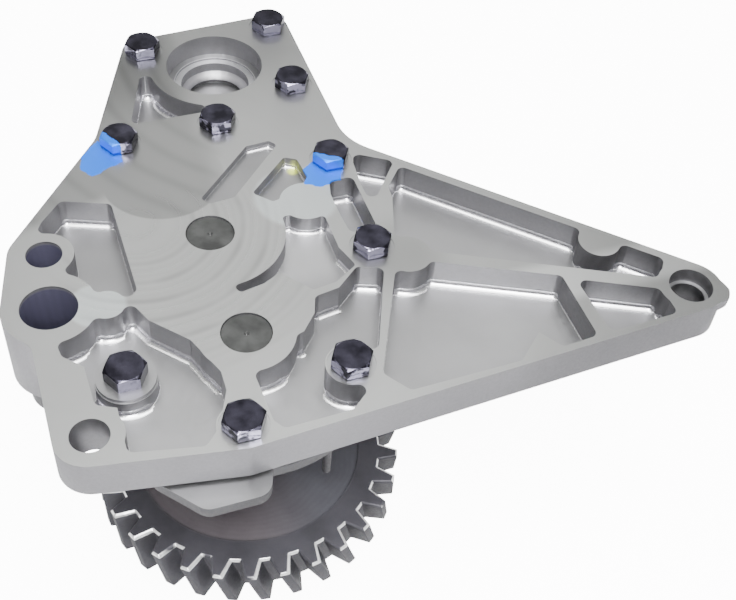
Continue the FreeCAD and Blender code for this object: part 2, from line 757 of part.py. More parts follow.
def hexagon(body, name, flat, top, height):
    """A hexagon under its top height, its upper corners turned off."""
    corner = flat / math.sqrt(3)
    prism = body.newObject("PartDesign::AdditivePrism", name)
    prism.Polygon = 6
    for prop, value in (("Circumradius", corner), ("Height", height), ("Placement.Base.z", top - height)):
        prism.setExpression(prop, value.formula)
    doc.recompute()
    edge = flat / 2 - size("end_bevel") / 4
    reach = corner + size("end_bevel")
    fall = (reach - edge) * math.tan(math.radians(30))
    revolve(body, name + "_turned", [(edge, top), (reach, top + 1.0), (reach, top - fall)], "Groove")


def keyway(body, name, top, bottom, height, length):
    """A slot for a key on the +Y side, cut downwards from a level below the face."""
    half = size("key_width") / 2
    corners = [(-half, bottom), (half, bottom), (half, height), (-half, height)]
    pocket(body, name, profile(new_sketch(body, name + "_outline", level=-top), corners), length)


def make_key(name, x, y, top, seat_r, length):
    """A key half sunk in the shaft."""
    key = doc.addObject("Part::Box", name)
    key.Label = name
    bottom = seat_r - size("key_height") / 2 - size("key_sink")
    for prop, value in (
        ("Length", size("key_width")),
        ("Width", size("key_height")),
        ("Height", length),
        ("Placement.Base.x", x - size("key_width") / 2),
        ("Placement.Base.y", y + bottom),
        ("Placement.Base.z", -(top + length)),
    ):
        key.setExpression(prop, value.formula)
    return key


def key_span(seat_r):
    bottom = seat_r - size("key_height") / 2 - size("key_sink")
    return bottom, bottom + size("key_height")


def involute(angle):
    return math.tan(angle) - angle


def gear_wire(teeth, module, pressure, root_r, tip_r, phase, slack=0.0, inset=0.0, straight=False):
    """The toothed outline: a root arc, two flanks and a tip arc for each tooth."""
    pitch_r = module * teeth / 2
    base_r = pitch_r * math.cos(math.radians(pressure))
    start_r = (root_r if straight else max(base_r, root_r)) - inset
    tip = tip_r - inset
    half_pitch = (math.pi * module / 2 - slack) / (2 * pitch_r) + involute(math.radians(pressure))

    def half_angle(radius):
        grown = max(radius + inset, base_r)
        return half_pitch - involute(math.acos(base_r / grown)) - inset / radius

    def at(radius, angle):
        return Vector(radius * math.cos(angle), radius * math.sin(angle), 0)

    def flank(points):
        if straight:
            return Part.makeLine(points[0], points[-1])
        return Part.Arc(*points).toShape()

    edges = []
    count = int(round(teeth))
    for index in range(count):
        middle_angle = math.radians(phase + 360.0 * index / count)
        next_angle = middle_angle + 2 * math.pi / count
        steps = [start_r, (start_r + tip) / 2, tip]
        rising = [at(radius, middle_angle - half_angle(radius)) for radius in steps]
        falling = [at(radius, middle_angle + half_angle(radius)) for radius in reversed(steps)]
        foot = half_angle(start_r)
        bottom_r = root_r - inset
        left = at(bottom_r, middle_angle + foot)
        right = at(bottom_r, next_angle - foot)
        valley = at(bottom_r, (middle_angle + next_angle) / 2)
        edges.append(flank(rising))
        edges.append(Part.Arc(rising[2], at(tip, middle_angle), falling[0]).toShape())
        edges.append(flank(falling))
        if start_r - bottom_r > 0.05:
            edges.append(Part.makeLine(falling[2], left))
        edges.append(Part.Arc(left, valley, right).toShape())
        if start_r - bottom_r > 0.05:
            edges.append(Part.makeLine(right, at(start_r, next_angle - foot)))
    return Part.Wire(edges)


def make_shaft(name, x, y, corners):
    shaft = new_body(name, x, y)
    revolve(shaft, "turned", corners)
    return shaft


def shaft_end(radius, top):
    """The upper end of a shaft: a centre mark and a small bevel."""
    mark = size("centre_mark")
    bevel = size("shaft_bevel")
    return [(NOTHING, top - mark), (mark, top), (radius - bevel, top), (radius, top - bevel)]


def make_shafts():
    radius = size("shaft_r")
    stud = size("stud_r")
    seat = size("drive_bore_r")
    top = -size("shaft_sink")
    bevel = size("end_bevel")
    stud_end = gear_bottom + size("washer_t") + size("nut_t") + size("stud_past_nut")
    drive = make_shaft("drive_shaft", NOTHING, NOTHING, shaft_end(radius, top) + [
        (radius, -gear_top), (seat, -gear_top), (seat, -gear_bottom + size("seat_relief")),
        (stud, -gear_bottom + size("seat_relief")), (stud, -stud_end + bevel), (stud - bevel, -stud_end),
        (NOTHING, -stud_end),
    ])
    bottom = chamber_depth + size("driven_bush_length") - size("seat_gap") * 4
    driven_shaft = make_shaft("driven_shaft", *driven, shaft_end(radius, top) + [
        (radius, -bottom + bevel), (radius - bevel, -bottom), (NOTHING, -bottom),
    ])
    for shaft in (drive, driven_shaft):
        keyway(shaft, "pump_keyway", pump_key_top, key_span(radius)[0], radius + 1.0, pump_key_length)
    keyway(drive, "drive_keyway", drive_key_top, key_span(seat)[0], radius + 1.0, drive_key_length)
    return [drive, driven_shaft]


pump_top = size("plate_t") + size("pump_end_gap")
pump_key_top = pump_top + size("key_end_room")
pump_key_length = size("pump_face") - size("key_end_room") * 2
drive_key_top = gear_top + size("key_end_room") / 2
drive_key_length = size("drive_face") - size("key_end_room")


def make_pump_gear(name, x, y, phase):
    gear = new_body(name, x, y)
    module, teeth = float(pump_module), float(size("pump_teeth"))
    tip_r = module * (teeth / 2 + 1)
    root_r = module * (teeth / 2 - PUMP_DEDENDUM)
    outline = gear_wire(teeth, module, PUMP_PRESSURE, root_r, tip_r, phase, slack=float(size("backlash")))
    pad(gear, "teeth", trace(new_sketch(gear, "tooth_outline", level=-pump_top), outline), size("pump_face"))
    bore = new_sketch(gear, "bore_place", level=-pump_top)
    circles(bore, [(NOTHING, NOTHING, size("shaft_r") + size("thread_gap"))])
    pocket(gear, "bore", bore, size("pump_face"))
    bottom, top = key_span(size("shaft_r"))
    keyway(gear, "keyway", pump_top, bottom, top, size("pump_face"))
    return gear


def make_drive_gear():
    gear = new_body("drive_gear")
    teeth, tip_r, root_r = (float(size("drive_" + name)) for name in ("teeth", "tip_r", "root_r"))
    module = tip_r / (teeth / 2 + 1)
    phase, bevel = float(size("drive_phase")), float(size("tooth_bevel"))
    share = bevel / float(size("drive_face"))
    layers = (
        (gear_top, bevel, 0.0),
        (gear_top + size("tooth_bevel"), 0.0, share),
        (gear_bottom - size("tooth_bevel"), 0.0, 1 - share),
        (gear_bottom, bevel, 1.0),
    )
    sketches = []
    for number, (depth, inset, turned) in enumerate(layers, start=1):
        start = phase + turned * float(size("drive_twist"))
        outline = gear_wire(teeth, module, DRIVE_PRESSURE, root_r, tip_r, start, slack=-DRIVE_TOOTH_EXTRA,
                            inset=inset, straight=True)
        sketches.append(trace(new_sketch(gear, f"tooth_outline_{number}", level=-depth), outline))
    doc.recompute()
    loft = gear.newObject("PartDesign::AdditiveLoft", "teeth")
    loft.Profile = sketches[0]
    loft.Sections = sketches[1:]
    loft.Ruled = True
    doc.recompute()
    hub_r = size("spacer_r") + size("web_sink")
    upper = new_sketch(gear, "upper_web_places", level=-gear_top)
    circles(upper, [(NOTHING, NOTHING, size("web_r")), (NOTHING, NOTHING, hub_r)])
    pocket(gear, "upper_web", upper, size("web_sink"))
    lower = new_sketch(gear, "lower_web_places", level=-gear_bottom)
    circles(lower, [(NOTHING, NOTHING, size("web_r")), (NOTHING, NOTHING, hub_r)])
    extrude("Pocket", gear, "lower_web", lower, size("lower_web_sink"), reverse=True)
    bore = new_sketch(gear, "bore_place", level=-gear_top)
    circles(bore, [(NOTHING, NOTHING, size("drive_bore_r") + size("thread_gap"))])
    pocket(gear, "bore", bore, size("drive_face"))
    bottom, top = key_span(size("drive_bore_r"))
    keyway(gear, "keyway", gear_top, bottom, top, size("drive_face"))
    return gear


def make_ring(name, x, y, inner, outer, top, height):
    """A plain ring between two radii."""
    ring = new_body(name, x, y)
    revolve(ring, "turned", [(inner, -top), (outer, -top), (outer, -top - height), (inner, -top - height)])
    return ring


def make_rings():
    inner = size("shaft_r") + size("running_gap")
    hanging = size("cover_bush_length")
    cover_top = size("plate_t") - hanging
    blind = size("driven_bush_length")
    through = size("housing_depth") - chamber_depth - size("housing_bush_sink")
    shaft_slip = size("shaft_r") + size("thread_gap")
    spacer_top = size("housing_depth") + size("spacer_gap")
    spacer_t = gear_top - spacer_top
    stud_slip = size("stud_r") + size("bolt_hole_gap")
    plug_slip = size("relief_plug_r") + size("bolt_hole_gap")
    seal_t = size("relief_washer_t")
    seal_top = size("relief_boss_sink") - seal_t
    axis = (NOTHING, NOTHING)
    return [
        make_ring("cover_drive_bush", *axis, inner, bush_r, cover_top, hanging),
        make_ring("cover_driven_bush", *driven, inner, bush_r, cover_top, hanging),
        make_ring("housing_drive_bush", *axis, inner, bush_r, chamber_depth, through),
        make_ring("housing_driven_bush", *driven, inner, bush_r, chamber_depth, blind),
        make_ring("drive_gear_spacer", *axis, shaft_slip, size("spacer_r"), spacer_top, spacer_t),
        make_ring("drive_gear_washer", *axis, stud_slip, size("washer_r"), gear_bottom, size("washer_t")),
        make_ring("relief_plug_washer", *relief, plug_slip, size("relief_washer_r"), seal_top, seal_t),
    ]


def make_nut():
    nut = new_body("drive_gear_nut")
    top = -(gear_bottom + size("washer_t"))
    hexagon(nut, "flats", size("nut_flat"), top, size("nut_t"))
    bore = new_sketch(nut, "bore_place", level=top)
    circles(bore, [(NOTHING, NOTHING, size("stud_r") + size("thread_gap"))])
    pocket(nut, "bore", bore, size("nut_t"))
    return nut


def make_plug():
    plug = new_body("relief_plug", *relief)
    seat = size("relief_washer_t") - size("relief_boss_sink")
    top = seat + size("relief_head")
    hexagon(plug, "head", size("bolt_flat"), top, size("relief_head"))
    radius = size("relief_plug_r")
    end = -size("relief_plug_end")
    bevel = size("end_bevel")
    revolve(plug, "stem", [
        (NOTHING, seat), (radius, seat), (radius, end + bevel), (radius - bevel, end), (NOTHING, end),
    ])
    return plug


def make_plunger():
    plunger = new_body("relief_plunger", *relief)
    outer = size("relief_bore_r") - size("running_gap")
    inner = outer - size("plunger_wall")
    bottom = -size("relief_seat_depth") + size("seat_gap")
    top = bottom + size("plunger_length")
    floor = bottom + size("plunger_floor")
    bevel = size("end_bevel") / 2
    revolve(plunger, "turned", [
        (NOTHING, floor), (inner, floor), (inner, top), (outer, top), (outer, bottom + bevel),
        (outer - bevel, bottom), (NOTHING, bottom),
    ])
    return plunger


def make_spring():
    """A coil of square wire that stands on the plunger's floor and presses under the plug."""
    spring = new_body("relief_spring", *relief)
    wire_r = size("spring_wire") / 2
    low = -size("relief_seat_depth") + size("seat_gap") * 2 + size("plunger_floor") + wire_r
    high = -size("relief_plug_end") - size("seat_gap") - wire_r
    section = new_sketch(spring, "wire_section", plane="XZ_Plane")
    inner = size("spring_r") - wire_r
    outer = size("spring_r") + wire_r
    foot, head = low - wire_r, low + wire_r
    profile(section, [(inner, foot), (outer, foot), (outer, head), (inner, head)])
    coil = spring.newObject("PartDesign::AdditiveHelix", "coil")
    coil.Profile = section
    coil.ReferenceAxis = (section, ["V_Axis"])
    coil.Mode = 2
    coil.setExpression("Height", (high - low).formula)
    coil.setExpression("Turns", size("spring_coils").formula)
    return spring


def make_group(name, source, places):
    """One piece repeated at several places, as separate solids of one sub-part."""
    links = []
    for index, (x, y) in enumerate(places, start=1):
        link = doc.addObject("App::Link", f"{name}_{index}")
        link.LinkedObject = source
        link.LinkTransform = False
        link.setExpression("Placement.Base.x", x.formula)
        link.setExpression("Placement.Base.y", y.formula)
        links.append(link)
    group = doc.addObject("Part::Compound", name)
    group.Label = name
    group.Links = links
    return group


def make_bolts():
    bolt = new_body("bolt")
    seat = -size("spot_face_depth")
    top = seat + size("bolt_head")
    hexagon(bolt, "head", size("bolt_flat"), top, size("bolt_head") - size("bolt_washer_face"))
    face_r = size("bolt_flat") / 2 - size("end_bevel") / 4
    radius = size("bolt_r")
    end = seat - size("bolt_length") + size("spot_face_depth")
    bevel = size("end_bevel")
    under = seat + size("bolt_washer_face")
    revolve(bolt, "stem", [
        (NOTHING, under), (face_r, under), (face_r, seat), (radius, seat), (radius, end + bevel),
        (radius - bevel, end), (NOTHING, end),
    ])
    return make_group("cover_bolts", bolt, [spot(name) for name in BOLTS])


def make_dowels():
    pin = new_body("dowel")
    radius = size("dowel_r")
    top = -(size("plate_t") - size("dowel_length") / 2)
    end = top - size("dowel_length")
    bevel = size("end_bevel")
    inner = radius - bevel
    revolve(pin, "turned", [
        (NOTHING, top), (inner, top), (radius, top - bevel), (radius, end + bevel), (inner, end),
        (NOTHING, end),
    ])
    return make_group("dowel_pins", pin, dowel_places)


quarter = 360.0 / float(size("pump_teeth")) / 2
parts = [make_cover(), make_housing()]
parts += make_shafts()
parts += [
    make_pump_gear("drive_pump_gear", NOTHING, NOTHING, 90.0),
    make_pump_gear("driven_pump_gear", *driven, 270.0 + quarter),
    make_key("drive_pump_gear_key", NOTHING, NOTHING, pump_key_top, size("shaft_r"), pump_key_length),
    make_key("driven_pump_gear_key", *driven, pump_key_top, size("shaft_r"), pump_key_length),
    make_drive_gear(),
    make_key("drive_gear_key", NOTHING, NOTHING, drive_key_top, size("drive_bore_r"), drive_key_length),
]
parts += make_rings()
parts += [make_nut(), make_plug(), make_plunger(), make_spring(), make_bolts(), make_dowels()]
doc.recompute()
for each in doc.Objects:
    if "Invalid" in each.State or "Error" in each.State:
        raise RuntimeError(f"{each.Name} failed: {each.State}")
os.makedirs("parts", exist_ok=True)
for part in parts:
    if part.Shape.isNull() or not part.Shape.isValid():
        raise RuntimeError(f"{part.Label} has no valid shape")
    part.Shape.exportStep(f"parts/{part.Label}.step")
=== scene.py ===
import json
import math

import bmesh
import bpy
import numpy as np
from mathutils import Matrix, Vector


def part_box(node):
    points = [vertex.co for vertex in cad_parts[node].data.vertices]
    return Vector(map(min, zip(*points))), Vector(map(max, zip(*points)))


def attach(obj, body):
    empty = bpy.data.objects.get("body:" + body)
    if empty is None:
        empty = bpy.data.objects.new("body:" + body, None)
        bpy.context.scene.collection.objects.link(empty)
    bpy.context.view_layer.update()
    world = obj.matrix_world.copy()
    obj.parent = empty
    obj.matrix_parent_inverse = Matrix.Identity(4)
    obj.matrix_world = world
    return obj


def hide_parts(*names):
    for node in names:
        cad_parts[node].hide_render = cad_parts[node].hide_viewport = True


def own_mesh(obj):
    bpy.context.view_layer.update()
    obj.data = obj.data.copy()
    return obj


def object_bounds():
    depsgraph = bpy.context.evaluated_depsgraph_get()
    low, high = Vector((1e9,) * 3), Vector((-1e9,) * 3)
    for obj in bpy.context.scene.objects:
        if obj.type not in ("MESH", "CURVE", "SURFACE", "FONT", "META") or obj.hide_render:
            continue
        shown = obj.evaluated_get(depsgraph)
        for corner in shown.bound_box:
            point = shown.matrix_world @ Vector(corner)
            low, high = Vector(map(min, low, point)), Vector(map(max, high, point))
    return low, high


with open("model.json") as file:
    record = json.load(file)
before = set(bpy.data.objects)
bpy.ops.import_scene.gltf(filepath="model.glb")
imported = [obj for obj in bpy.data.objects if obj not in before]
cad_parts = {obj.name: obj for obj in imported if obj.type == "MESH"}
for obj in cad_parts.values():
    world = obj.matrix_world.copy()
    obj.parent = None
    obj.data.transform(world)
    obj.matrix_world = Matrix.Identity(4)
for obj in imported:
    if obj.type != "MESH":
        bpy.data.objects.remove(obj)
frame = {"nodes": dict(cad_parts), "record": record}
cad_low, cad_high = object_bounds()
nodes = frame["nodes"]
record = frame["record"]
MM = 0.001
MOUNTS = {row["name"]: row["pos_m"] for row in record["mounts"]}


# Materials: places are in metres from the drive shaft's axis in the milled face, tones in linear grey

class Tree:
    """A material's node tree with short calls for the nodes used here."""

    def __init__(self, name):
        self.material = bpy.data.materials.new(name)
        self.material.use_nodes = True
        self.nodes = self.material.node_tree.nodes
        self.links = self.material.node_tree.links
        self.shader = next(n for n in self.nodes if n.type == "BSDF_PRINCIPLED")

    def put(self, socket, value):
        if isinstance(value, bpy.types.NodeSocket):
            self.links.new(value, socket)
        elif hasattr(value, "__len__") and len(value) == 3 and len(socket.default_value) == 4:
            socket.default_value = (*value, 1.0)
        else:
            socket.default_value = value

    def node(self, kind, output=0, settings=None, **inputs):
        """One node with its inputs set by name, or by number as i0, i1 and so on."""
        made = self.nodes.new("ShaderNode" + kind)
        for key, value in (settings or {}).items():
            setattr(made, key, value)
        for key, value in inputs.items():
            index = int(key[1:]) if key[0] == "i" and key[1:].isdigit() else None
            socket = made.inputs[index] if index is not None else made.inputs[key.replace("_", " ")]
            self.put(socket, value)
        return made.outputs[output]

    def math(self, operation, a, b=0.0, c=0.0):
        return self.node("Math", settings={"operation": operation}, i0=a, i1=b, i2=c)

    def position(self):
        return self.node("TexCoord", output=3)

    def normal(self):
        return self.node("TexCoord", output=1)

    def axes(self, vector):
        split = self.nodes.new("ShaderNodeSeparateXYZ")
        self.links.new(vector, split.inputs[0])
        return split.outputs

    def noise(self, vector, scale, detail=3.0, roughness=0.5):
        return self.node("TexNoise", Vector=vector, Scale=scale, Detail=detail, Roughness=roughness)

    def span(self, value, low, high, to_low=0.0, to_high=1.0, smooth=False):
        kind = "SMOOTHSTEP" if smooth else "LINEAR"
        return self.node("MapRange", settings={"interpolation_type": kind}, i0=value, i1=low, i2=high, i3=to_low,
                         i4=to_high)

    def mix(self, share, a, b):
        """Two colours mixed."""
        made = self.nodes.new("ShaderNodeMix")
        made.data_type = "RGBA"
        self.put(made.inputs[0], share)
        self.put(made.inputs[6], a)
        self.put(made.inputs[7], b)
        return made.outputs[2]

    def blend(self, share, a, b):
        """Two numbers mixed."""
        made = self.nodes.new("ShaderNodeMix")
        made.data_type = "FLOAT"
        self.put(made.inputs[0], share)
        self.put(made.inputs[2], a)
        self.put(made.inputs[3], b)
        return made.outputs[0]

    def bump(self, height, strength, distance):
        return self.node("Bump", Height=height, Strength=strength, Distance=distance)

    def finish(self, **values):
        for key, value in values.items():
            self.put(self.shader.inputs[key.replace("_", " ")], value)
        return self.material


def plane(tree, x, y, across, along, start):
    """How far a place lies past a line on the face."""
    side = tree.math("MULTIPLY_ADD", x, across, tree.math("MULTIPLY", y, along))
    return tree.math("SUBTRACT", side, start)


def distance(tree, x, y, centre):
    dx = tree.math("SUBTRACT", x, centre[0])
    dy = tree.math("SUBTRACT", y, centre[1])
    return tree.math("SQRT", tree.math("MULTIPLY_ADD", dx, dx, tree.math("MULTIPLY", dy, dy)))


RING_WANDER = 0.006


def rings(tree, radius, wander, pitch):
    """The lay that a face cutter leaves: rings that wander a little."""
    bent = tree.math("MULTIPLY_ADD", wander, RING_WANDER, radius)
    return tree.math("SINE", tree.math("MULTIPLY", bent, 2 * math.pi / pitch))


def grey(tree, value, tint):
    return tree.node("CombineColor", i0=tree.math("MULTIPLY", value, tint[0]),
                     i1=tree.math("MULTIPLY", value, tint[1]), i2=tree.math("MULTIPLY", value, tint[2]))


# The two dabs of marking paint by the bolts at the neck, as corners in mm
PAINT = (
    ((-29.0, 112.5), (-37.6, 104.0), (-39.1, 96.3), (-35.7, 91.1), (-22.6, 96.9), (-22.2, 104.0), (-26.5, 108.5)),
    ((48.1, 77.8), (43.3, 74.1), (41.5, 66.0), (47.5, 62.7), (55.5, 65.2), (58.6, 70.6)),
)
PAINT_BLUE = (0.004, 0.21, 1.0)
# Painted shade: the paint's darker blue low on the bolt heads, by the crease with the face
PAINT_CREASE_SHADE = (0.005, 0.06, 0.40)
PAINT_EDGE = 0.0002


def paint_mask(tree, place, x, y, raggedness):
    """Flat patches of paint with a slightly ragged edge."""
    ragged = tree.span(tree.noise(place, 260.0, 2.0), 0.3, 0.7, -raggedness, raggedness)
    masks = []
    for corners in PAINT:
        inside = None
        for (x1, y1), (x2, y2) in zip(corners, corners[1:] + corners[:1]):
            length = math.hypot(x2 - x1, y2 - y1)
            across, along = (y1 - y2) / length, (x2 - x1) / length
            start = (across * x1 + along * y1) * MM
            past = plane(tree, x, y, across, along, start)
            inside = past if inside is None else tree.math("MINIMUM", inside, past)
        inside = tree.math("ADD", inside, ragged)
        masks.append(tree.span(inside, -PAINT_EDGE, PAINT_EDGE))
    return tree.math("MAXIMUM", masks[0], masks[1])


# Painted shade in the round wells of the cover, darker downwards: mount, radius in mm, how dark they get and how far
# down in mm that takes
WELLS = (("lower_mount", 6.5, 0.2, 14.0), ("arm_mount", 6.5, 0.62, 9.0), ("inlet_port", 11.8, 0.1, 19.0))


def painted_well_shade(tree, x, y, z):
    shade = None
    for mount, radius, depth, fall in WELLS:
        near = tree.span(distance(tree, x, y, MOUNTS[mount]), (radius + 0.5) * MM, (radius + 0.2) * MM)
        down = tree.span(z, -0.4 * MM, -fall * MM, 0.0, depth, smooth=True)
        each = tree.math("MULTIPLY", near, down)
        shade = each if shade is None else tree.math("MAXIMUM", shade, each)
    return shade


# The face cutter's two passes: the middle of their rings, their pitches and how dark their streaks are
PASS_1, PASS_2 = (-0.025, 0.062), (0.075, 0.155)
PITCH_1, FINE_PITCH_1, PITCH_2, LAY_PITCH = 0.0092, 0.0031, 0.012, 0.0009
STREAK_1, FINE_STREAK_1, STREAK_2 = -0.17, 0.02, -0.06
STREAK_POWER = 3.0
# The second pass is darker and lies over the neck: past a line and within an arc, on the left
PASS_2_TONE = -0.20
PASS_2_LINE = (-0.24, 0.97, 0.083)
PASS_2_ARC, PASS_2_ARC_R = (-0.010, 0.0847), (0.0240, 0.0232)
PASS_2_LEFT = (0.018, 0.004)
# The first pass has clear streaks only round the shafts, and none in the middle of its rings
STREAKS_AT, STREAKS_R, STREAKS_ELSEWHERE = (-0.010, 0.036), (0.052, 0.036), 0.04
STREAKS_FROM_R = (0.013, 0.019)


def cutter_marks(tree, place, x, y):
    """The cutter's passes over the milled face: their tone, the streaks' height and the finest lay."""
    wander = tree.math("SUBTRACT", tree.noise(place, 12.0, 2.0), 0.5)
    radius_1 = distance(tree, x, y, PASS_1)
    radius_2 = distance(tree, x, y, PASS_2)
    first = rings(tree, radius_1, wander, PITCH_1)
    first_fine = rings(tree, radius_1, wander, FINE_PITCH_1)
    second = rings(tree, radius_2, wander, PITCH_2)

    past_line = tree.math("MULTIPLY_ADD", wander, 0.02, plane(tree, x, y, *PASS_2_LINE))
    neck = tree.span(past_line, -0.003, 0.004, smooth=True)
    left = tree.span(x, *PASS_2_LEFT, smooth=True)
    arc = tree.math("MULTIPLY", tree.span(distance(tree, x, y, PASS_2_ARC), *PASS_2_ARC_R), left)
    on_second = tree.math("MAXIMUM", tree.math("MULTIPLY", neck, left), arc)

    off_middle = tree.span(radius_1, *STREAKS_FROM_R, smooth=True)
    sharp = tree.math("POWER", tree.span(first, -1.0, 1.0), STREAK_POWER)
    broken = tree.span(tree.noise(place, 34.0, 2.0), 0.38, 0.62, 0.4, 1.0, smooth=True)
    broken = tree.math("MULTIPLY", broken, off_middle)
    tone_1 = tree.math("MULTIPLY", tree.math("MULTIPLY", sharp, broken), STREAK_1)
    tone_1 = tree.math("MULTIPLY_ADD", tree.math("MULTIPLY", first_fine, off_middle), FINE_STREAK_1, tone_1)
    near_shafts = tree.span(distance(tree, x, y, STREAKS_AT), *STREAKS_R, smooth=True)
    tone_1 = tree.math("MULTIPLY", tone_1, tree.span(near_shafts, 0.0, 1.0, STREAKS_ELSEWHERE, 1.0))
    sharp_2 = tree.math("POWER", tree.span(second, -1.0, 1.0), STREAK_POWER)
    tone_2 = tree.math("MULTIPLY_ADD", sharp_2, STREAK_2, PASS_2_TONE)

    lay_1 = rings(tree, radius_1, wander, LAY_PITCH)
    lay_2 = rings(tree, radius_2, wander, LAY_PITCH)
    return (tree.blend(on_second, tone_1, tone_2), tree.math("MULTIPLY", first, near_shafts),
            tree.blend(on_second, lay_1, lay_2))


# Tones of the milled face: all over, and what is added on its brighter patches, out along the arm, on the
# rib between the arm's pockets, on the land at the arm's root and towards the inlet's end
FACE_TONE, PATCH_TONE, ARM_TONE, RIB_TONE, ROOT_TONE, INLET_TONE = 0.63, 0.26, -0.11, 0.29, -0.15, -0.15
PATCHES = (((0.036, 0.060), 0.0175, 0.0145), ((-0.046, 0.026), 0.011, 0.009))
RIB_Y, ROOT_LAND = -0.008, (0.0636, 0.020)


def bright_patches(tree, x, y):
    spots = [tree.span(distance(tree, x, y, at), outer, inner, smooth=True) for at, outer, inner in PATCHES]
    return tree.math("MAXIMUM", *spots)


def milled_tone(tree, x, y, broad, marks, patch):
    outward = tree.span(x, 0.04, 0.15, 0.0, ARM_TONE)
    tone = tree.math("ADD", marks, tree.span(broad, 0.3, 0.7, -0.03, 0.03))
    tone = tree.math("ADD", tone, tree.math("MULTIPLY_ADD", patch, PATCH_TONE, outward))
    off_rib = tree.math("ABSOLUTE", tree.math("SUBTRACT", y, RIB_Y))
    rib = tree.span(off_rib, 0.012, 0.006, 0.0, RIB_TONE, smooth=True)
    rib = tree.math("MULTIPLY", rib, tree.span(x, 0.070, 0.085, smooth=True))
    root = tree.span(distance(tree, x, y, ROOT_LAND), 0.024, 0.006, 0.0, ROOT_TONE, smooth=True)
    tone = tree.math("ADD", tone, tree.math("ADD", rib, root))
    tone = tree.math("ADD", tone, tree.span(y, 0.105, 0.155, 0.0, INLET_TONE, smooth=True))
    return tree.math("ADD", tone, FACE_TONE)


# Tones of the castings' floors and walls, from the plate to the arm, and what is added on the far side of
# the middle pocket's floor and on the inlet's seat; the walls' darker tone, falling towards the arm, is painted
# shade, and the seat's added tone is painted light
FLOOR_TONES, WALL_SHADE_TONES = (0.45, 0.52), (0.31, 0.20)
CENTRE_BAY_TONE, SEAT_LIGHT = 0.25, 0.35
CENTRE_BAY_TOP, CENTRE_BAY_BOTTOM = (-0.0070, -0.0074), (-0.0082, -0.0076)
SEAT_R = (0.0178, 0.0174)


def cast_tone(tree, place, x, y, z, broad, floor_part):
    floor = tree.math("ADD", tree.span(broad, 0.3, 0.7, -0.05, 0.05), tree.span(x, 0.05, 0.09, *FLOOR_TONES))
    floor = tree.math("ADD", floor, tree.span(tree.noise(place, 70.0, 3.0), 0.3, 0.7, -0.02, 0.02))
    centre_bay = tree.math("MULTIPLY", tree.span(z, *CENTRE_BAY_BOTTOM), tree.span(z, *CENTRE_BAY_TOP))
    far_side = tree.span(y, 0.014, 0.030, 0.0, CENTRE_BAY_TONE, smooth=True)
    floor = tree.math("ADD", floor, tree.math("MULTIPLY", centre_bay, far_side))
    # Painted light: the inlet's seat made brighter
    seat_light = tree.span(distance(tree, x, y, MOUNTS["inlet_port"]), *SEAT_R, 0.0, SEAT_LIGHT)
    floor = tree.math("ADD", floor, seat_light)
    # Painted shade: the walls get a darker tone than the floors, falling further towards the arm
    wall_in_shade = tree.math("ADD", tree.span(broad, 0.3, 0.7, -0.03, 0.03), tree.span(x, 0.02, 0.12, *WALL_SHADE_TONES))
    return tree.blend(floor_part, wall_in_shade, floor)


MILLED_TINT, CAST_TINT, PATCH_TINT = (0.985, 1.0, 0.98), (0.985, 0.975, 1.03), (0.93, 1.0, 0.995)
# Dark bores, in painted shade: mount and the radii between which the dark colour starts
DARK_BORES = (("outlet_port", 0.0105, 0.0102), ("upper_mount", 0.0070, 0.0067))
BORE_SHADE_COLOUR = (0.088, 0.085, 0.135)
# A painted yellow-green glint, a reflection painted into the colour, at the inner groove's upper end
GLINT_PLACE, GLINT_COLOUR = (0.0405, 0.0790), (0.92, 1.0, 0.30)


